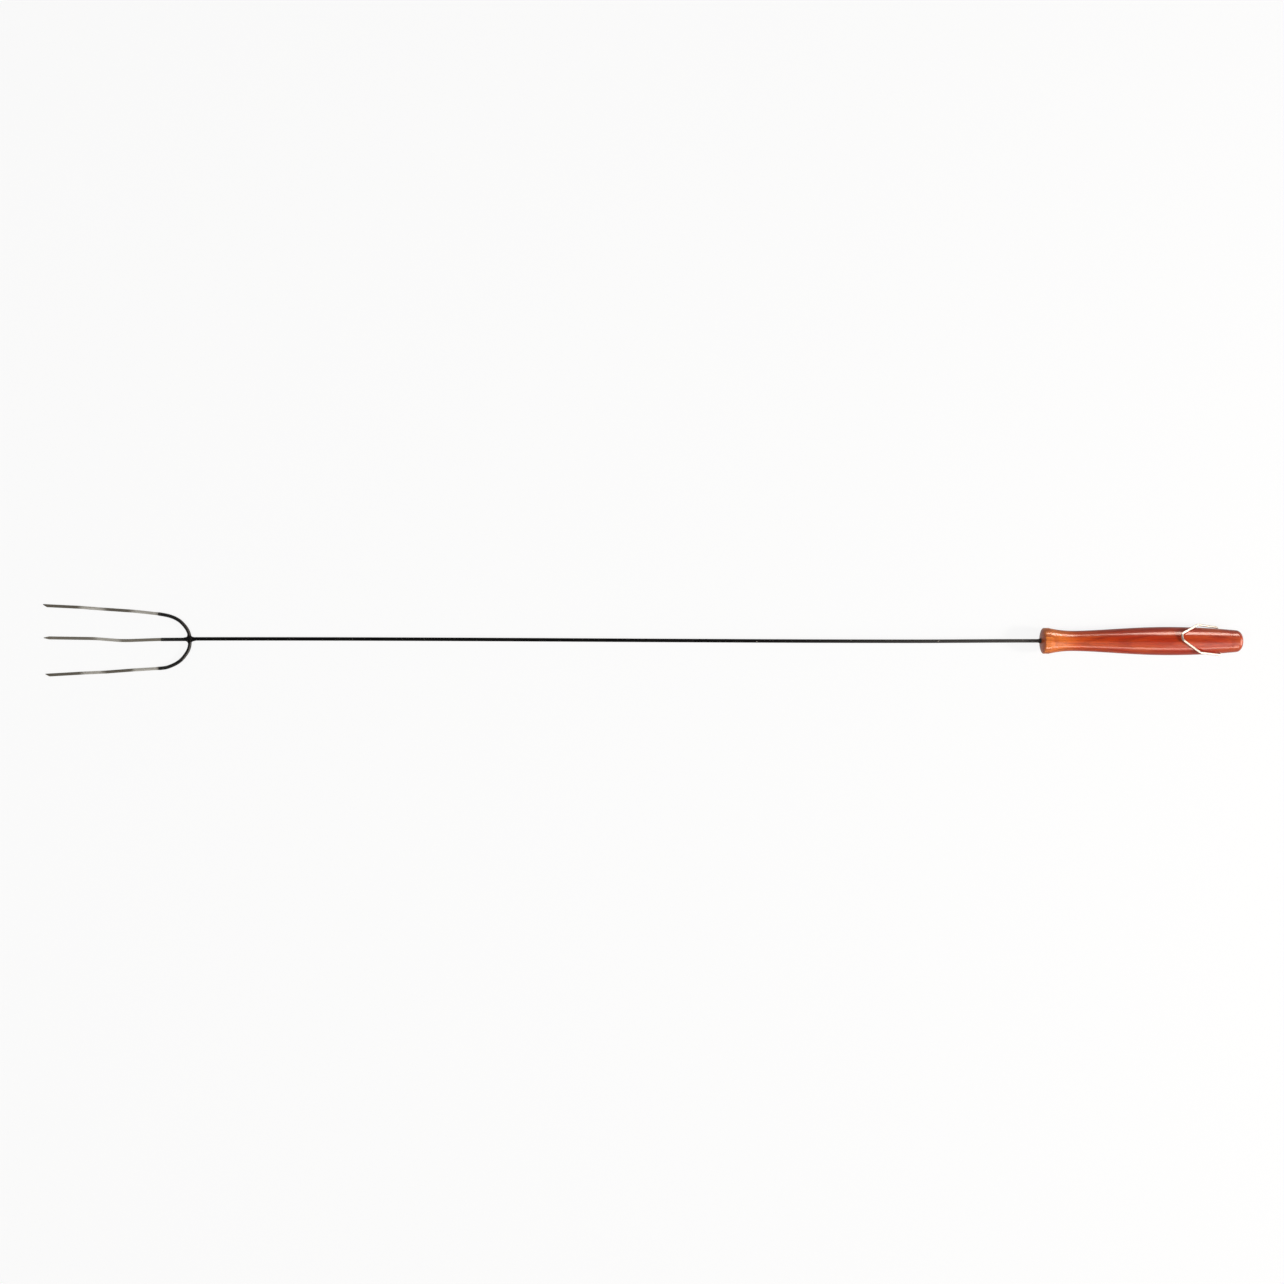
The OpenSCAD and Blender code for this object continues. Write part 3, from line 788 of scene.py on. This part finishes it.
woodLook = {
    # colours along the handle: distance from its front, and the stain there
    "stain": [(0.0, (0.95, 0.28, 0.058, 1)), (0.014, (0.92, 0.23, 0.038, 1)), (0.032, (0.68, 0.085, 0.011, 1)),
              (0.07, (0.53, 0.036, 0.005, 1)), (0.13, (0.52, 0.038, 0.007, 1)), (0.165, (0.51, 0.050, 0.016, 1)),
              (0.1835, (0.52, 0.085, 0.034, 1))],
    "latewood": (0.26, 0.014, 0.004, 1),
    "fibreDark": (0.15, 0.03, 0.012, 1),
    "endGrain": (0.52, 0.09, 0.032, 1),
    "endBand": 0.0014,         # length of the redder edge at the front
    "ringWidth": 0.0021,       # growth rings
    "pith": (0.016, -0.052),   # the middle of the tree, sideways and up from the axis
    "fibre": 0.018,
    "coat": 0.6,               # the clear finish is dulled where hands hold it, and full at the ends
    "coatRoughness": 0.16,
    "coatBend": 1.4,           # its index of refraction
    "underGloss": 0.05,
}


# Turned wood under a clear red-orange coat. Growth rings are shells about the pith, drawn out
# along the handle; fibres and pores are streaks; the stain runs darker into the end grain.
def woodMaterial():
    w = woodLook
    material, tree, shader, place = newMaterial("lacqueredWood")
    front = float(laidDown([0, 0, 0])[0])
    parts = put(tree, "ShaderNodeSeparateXYZ", {0: place}).outputs
    along = maths(tree, "SUBTRACT", parts[0], front)
    slow = noise(tree, stretched(tree, place, (7, 40, 40)), 1.0, 3, 0.5)
    y = maths(tree, "SUBTRACT", parts[1], w["pith"][0])
    z = maths(tree, "SUBTRACT", parts[2], w["pith"][1])
    distance = maths(tree, "SQRT", maths(tree, "ADD", maths(tree, "MULTIPLY", y, y), maths(tree, "MULTIPLY", z, z)))
    distance = maths(tree, "ADD", distance, maths(tree, "MULTIPLY", slow, 0.0075))
    ring = maths(tree, "FRACT", maths(tree, "DIVIDE", distance, w["ringWidth"]))
    late = maths(tree, "MULTIPLY", ranged(tree, ring, 0.45, 0.93), ranged(tree, ring, 0.94, 1.0, 1.0, 0.0))
    streaks = useGroup(tree, drawnStreaks, {"Vector": place, "Length": w["fibre"], "Width": 0.0004})
    ramp = put(tree, "ShaderNodeValToRGB", {0: maths(tree, "DIVIDE", along, handleSizes["length"])})
    stops = ramp.color_ramp.elements
    while len(stops) < len(w["stain"]):
        stops.new(0.5)
    for stop, (at, colour) in zip(stops, w["stain"]):
        stop.position = at / handleSizes["length"]
        stop.color = colour
    colour = ramp.outputs[0]
    colour = tinted(tree, maths(tree, "MULTIPLY", late, 0.42), colour, w["latewood"])
    colour = tinted(tree, ranged(tree, streaks["Broad"], 0.42, 0.7, 0.0, 0.5), colour, w["latewood"])
    colour = tinted(tree, ranged(tree, streaks["Fine"], 0.5, 0.75, 0.0, 0.28), colour, w["fibreDark"])
    glow = ranged(tree, noise(tree, stretched(tree, place, (22, 70, 70)), 1.0, 2), 0.45, 0.7, 0.0, 0.3)
    colour = tinted(tree, glow, colour, (0.82, 0.17, 0.03, 1))
    pores = ranged(tree, noise(tree, stretched(tree, place, (230, 4200, 4200)), 1.0, 1), 0.63, 0.72)
    colour = tinted(tree, maths(tree, "MULTIPLY", pores, 0.55), colour, (0.10, 0.012, 0.004, 1))
    edge = maths(tree, "ADD", along, maths(tree, "MULTIPLY", maths(tree, "SUBTRACT", slow, 0.5), 0.0012))
    atFront = ranged(tree, edge, w["endBand"] * 0.72, w["endBand"], 1.0, 0.0)
    colour = tinted(tree, maths(tree, "MULTIPLY", atFront, 0.8), colour, w["endGrain"])
    marks = useGroup(tree, handlingMarks, {"Vector": place, "Size": 0.02, "Scratches": 0.35})
    ends = maths(tree, "ADD", ranged(tree, along, 0.001, 0.006, 1.0, 0.0),
                 ranged(tree, along, handleSizes["length"] - 0.007, handleSizes["length"] - 0.002))
    coat = blended(tree, ends, w["coat"], 1.0)
    waves = noise(tree, stretched(tree, place, (160, 420, 420)), 1.0, 2)
    height = maths(tree, "ADD", maths(tree, "MULTIPLY", waves, 0.8), maths(tree, "MULTIPLY", pores, -0.5))
    height = maths(tree, "ADD", height, maths(tree, "MULTIPLY", marks["Height"], 0.5))
    feed(tree, shader, Base_Color=colour, Roughness=blended(tree, marks["Smudge"], 0.34, 0.46),
         Specular_IOR_Level=w["underGloss"], Coat_Weight=coat, Coat_Roughness=w["coatRoughness"], Coat_IOR=w["coatBend"],
         Normal=bumped(tree, height, 0.00003), Coat_Normal=bumped(tree, waves, 0.00001))
    return material


# Bright plating on wire: nearly a mirror, dulled by smudges and fine lines along the wire.
def platedMaterial():
    material, tree, shader, place = newMaterial("platedWire")
    pattern = put(tree, "ShaderNodeAttribute", attribute_name="straight").outputs["Vector"]
    marks = useGroup(tree, handlingMarks, {"Vector": pattern, "Size": 0.007, "Scratches": 0.7})
    streaks = useGroup(tree, drawnStreaks, {"Vector": pattern, "Length": 0.012, "Width": 0.00025})
    dull = ranged(tree, noise(tree, pattern, 300.0, 3, 0.6), 0.52, 0.7, 0.0, 0.5)
    colour = tinted(tree, dull, (0.53, 0.48, 0.42, 1), (0.43, 0.39, 0.34, 1))
    colour = tinted(tree, maths(tree, "MULTIPLY", marks["Scratch"], 0.5), colour, (0.34, 0.32, 0.29, 1))
    roughness = maths(tree, "ADD", blended(tree, marks["Smudge"], 0.34, 0.46), maths(tree, "MULTIPLY", dull, 0.12))
    height = maths(tree, "ADD", maths(tree, "MULTIPLY", streaks["Fine"], 0.5), marks["Height"])
    feed(tree, shader, Base_Color=colour, Metallic=0.8, Roughness=roughness, Normal=bumped(tree, height, 0.000015))
    return material


print("building the wires, the weld and the handle")
outerTines, centreTine, shaft = outerTinesPiece(), centreTinePiece(), shaftPiece()
weld, handle, bail = weldPiece(), handlePiece(), bailPiece()
outerSteel = tineMaterial("outerSteel", steelLook["outerSheenBands"], steelLook["dark"], steelLook["paintEdge"])
centreSteel = tineMaterial("centreSteel", steelLook["centreSheenBands"], steelLook["centreDark"], steelLook["centreEdge"])
wood, plating = woodMaterial(), platedMaterial()
rodPaint, weldPaint = paintMaterial("rodPaint", True), paintMaterial("weldPaint", False)
for piece, material, body, node, slot in (
        (shaft, rodPaint, "fork", "shaft", "black_paint"),
        (outerTines, outerSteel, "fork", "outer_tines", "tine_steel"),
        (centreTine, centreSteel, "fork", "centre_tine", "tine_steel"),
        (weld, weldPaint, "fork", "weld_bead", "weld_paint"),
        (handle, wood, "fork", "handle", "lacquered_wood"),
        (bail, plating, "bail", "hanging_bail", "plated_wire")):
    piece.data.materials.append(material)
    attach(piece, body)
    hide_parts(node)

stageLook = {
    "floorSize": 9.0,
    "shadow": 0.12,            # how much of the floor's own shading the camera sees
    "shadowMirrored": 0.75,    # and how much of it reflections show
    "paleness": 0.95,          # colour of the floor for the camera
    "bounce": 0.42,            # and for the light that it sends back to the object
    "ambient": 0.2,            # light of the world that falls on the object
    "ceiling": 0.2,            # brightness of the world overhead
    "horizon": 0.905,          # what the camera sees behind the floor, as pale as the floor's far edge
    "cameraAt": (0.00215, -0.0005, 1.39),
    "cameraRoll": 0.1,         # degrees
    "focal": 1500,             # in pixels of the 1284 wide picture
    "picture": 1284,
}


# Floor: white cloth for the light that falls on it. The camera sees it nearly white, with a
# share of its shading left so that the shadow stays; reflections show more of that shading.
def makeFloor():
    half = stageLook["floorSize"] / 2
    mesh = bpy.data.meshes.new("floor")
    mesh.from_pydata([(-half, -half, 0), (half, -half, 0), (half, half, 0), (-half, half, 0)], [], [(0, 1, 2, 3)])
    floor = bpy.data.objects.new("floor", mesh)
    bpy.context.scene.collection.objects.link(floor)
    material = bpy.data.materials.new("paleFloor")
    material.use_nodes = True
    tree = material.node_tree
    tree.nodes.clear()
    path = put(tree, "ShaderNodeLightPath").outputs
    mirrored = maths(tree, "MAXIMUM", path["Is Glossy Ray"], path["Is Transmission Ray"])
    factor = maths(tree, "ADD", maths(tree, "MULTIPLY", path["Is Camera Ray"], 1 - stageLook["shadow"]),
                   maths(tree, "MULTIPLY", mirrored, 1 - stageLook["shadowMirrored"]), clamp=True)
    white = put(tree, "ShaderNodeEmission", {"Color": (1, 1, 1, 1), "Strength": 1.0}).outputs[0]
    paleness = blended(tree, path["Is Camera Ray"], stageLook["bounce"], stageLook["paleness"])
    cloth = put(tree, "ShaderNodeBsdfDiffuse", {"Color": paleness}).outputs[0]
    mixed = put(tree, "ShaderNodeMixShader", {0: factor, 1: cloth, 2: white}).outputs[0]
    out = put(tree, "ShaderNodeOutputMaterial")
    tree.links.new(mixed, out.inputs["Surface"])
    mesh.materials.append(material)
    return floor


# World: pale for the camera; white round the horizon and dim overhead in reflections; and a
# plain even light for the surfaces.
def makeWorld():
    world = bpy.data.worlds.new("studio")
    bpy.context.scene.world = world
    world.use_nodes = True
    tree = world.node_tree
    tree.nodes.clear()
    path = put(tree, "ShaderNodeLightPath").outputs
    mirrored = maths(tree, "MAXIMUM", path["Is Glossy Ray"], path["Is Transmission Ray"])
    upwards = put(tree, "ShaderNodeSeparateXYZ", {0: put(tree, "ShaderNodeTexCoord").outputs["Generated"]}).outputs[2]
    shown = ranged(tree, upwards, 0.08, 0.3, 1.0, stageLook["ceiling"])
    strength = blended(tree, mirrored, stageLook["ambient"], shown)
    strength = blended(tree, path["Is Camera Ray"], strength, stageLook["horizon"])
    background = put(tree, "ShaderNodeBackground", {"Color": (1, 1, 1, 1), "Strength": strength})
    tree.links.new(background.outputs[0], put(tree, "ShaderNodeOutputWorld").inputs["Surface"])


# Lamps: place, the point they face, the way their long side runs, length, width, watts and
# colour. The panels and the strips are only seen in the gloss; the others light the surfaces.
lamps = {
    "keyLamp": {"at": (1.93, -0.15, 1.1), "facing": (0.47, 0, 0), "along": (0, 1, 0), "size": (0.3, 0.3),
                "watts": 27.0, "colour": (1, 0.96, 0.91), "lights": True, "mirrored": False},
    "bigSoftbox": {"at": (1.1, -1.0, 1.8), "facing": (0.46, 0, 0), "along": (1, 0, 0), "size": (1.4, 1.6),
                   "watts": 10.0, "colour": (1, 0.97, 0.93), "lights": True, "mirrored": True},
    "tineLamp": {"at": (-0.7, -0.2, 1.8), "facing": (-0.5, 0, 0), "along": (1, 0, 0), "size": (0.8, 0.8),
                 "watts": 9.0, "colour": (1, 1, 1), "lights": True, "mirrored": False},
    "rightPanel": {"at": (1.9, -0.2, 0.6), "facing": (0.5, 0, 0.3), "along": (0, 1, 0), "size": (1.1, 1.15),
                   "watts": 34.0, "colour": (1, 0.93, 0.87), "lights": False, "mirrored": True},
    "glowPanel": {"at": (1.5, -0.95, 1.35), "facing": (0.5, 0, 0), "along": (1, 0, -0.6), "size": (0.8, 1.1),
                  "watts": 12.4, "colour": (1, 0.85, 0.75), "lights": False, "mirrored": True},
    "upperStrip": {"at": (1.0, 1.14, 0.48), "facing": (0.46, 0, 0.01), "along": (0.83, 0, -0.55),
                   "size": (0.66, 0.46), "watts": 25.7, "colour": (1, 0.82, 0.7), "lights": False, "mirrored": True},
    "lowerStrip": {"at": (0.95, -1.2, 0.54), "facing": (0.46, 0, 0.01), "along": (1, 0, 0),
                   "size": (0.9, 0.4), "watts": 15.8, "colour": (1, 0.82, 0.7), "lights": False, "mirrored": True},
}


def makeLamps():
    for name, lamp in lamps.items():
        data = bpy.data.lights.new(name, "AREA")
        data.shape = "RECTANGLE"
        data.size, data.size_y = lamp["size"]
        data.energy = lamp["watts"]
        data.color = lamp["colour"]
        obj = bpy.data.objects.new(name, data)
        back = (Vector(lamp["at"]) - Vector(lamp["facing"])).normalized()
        along = Vector(lamp["along"])
        along = (along - back * along.dot(back)).normalized()
        turn = Matrix((along, back.cross(along), back)).transposed()
        obj.matrix_world = Matrix.Translation(lamp["at"]) @ turn.to_4x4()
        obj.visible_camera = False
        obj.visible_glossy = lamp["mirrored"]
        obj.visible_diffuse = lamp["lights"]
        bpy.context.scene.collection.objects.link(obj)


def makeCamera():
    s = stageLook
    data = bpy.data.cameras.new("photoCamera")
    data.sensor_width = 36
    data.lens = s["focal"] / s["picture"] * data.sensor_width
    data.clip_start, data.clip_end = 0.05, 30
    camera = bpy.data.objects.new("photoCamera", data)
    camera.location = s["cameraAt"]
    camera.rotation_euler = (0, 0, math.radians(s["cameraRoll"]))
    bpy.context.scene.collection.objects.link(camera)
    bpy.context.scene.camera = camera


makeFloor()
makeWorld()
makeLamps()
makeCamera()
bpy.context.scene.view_settings.view_transform = "Standard"
print("stage, lamps and camera in place")
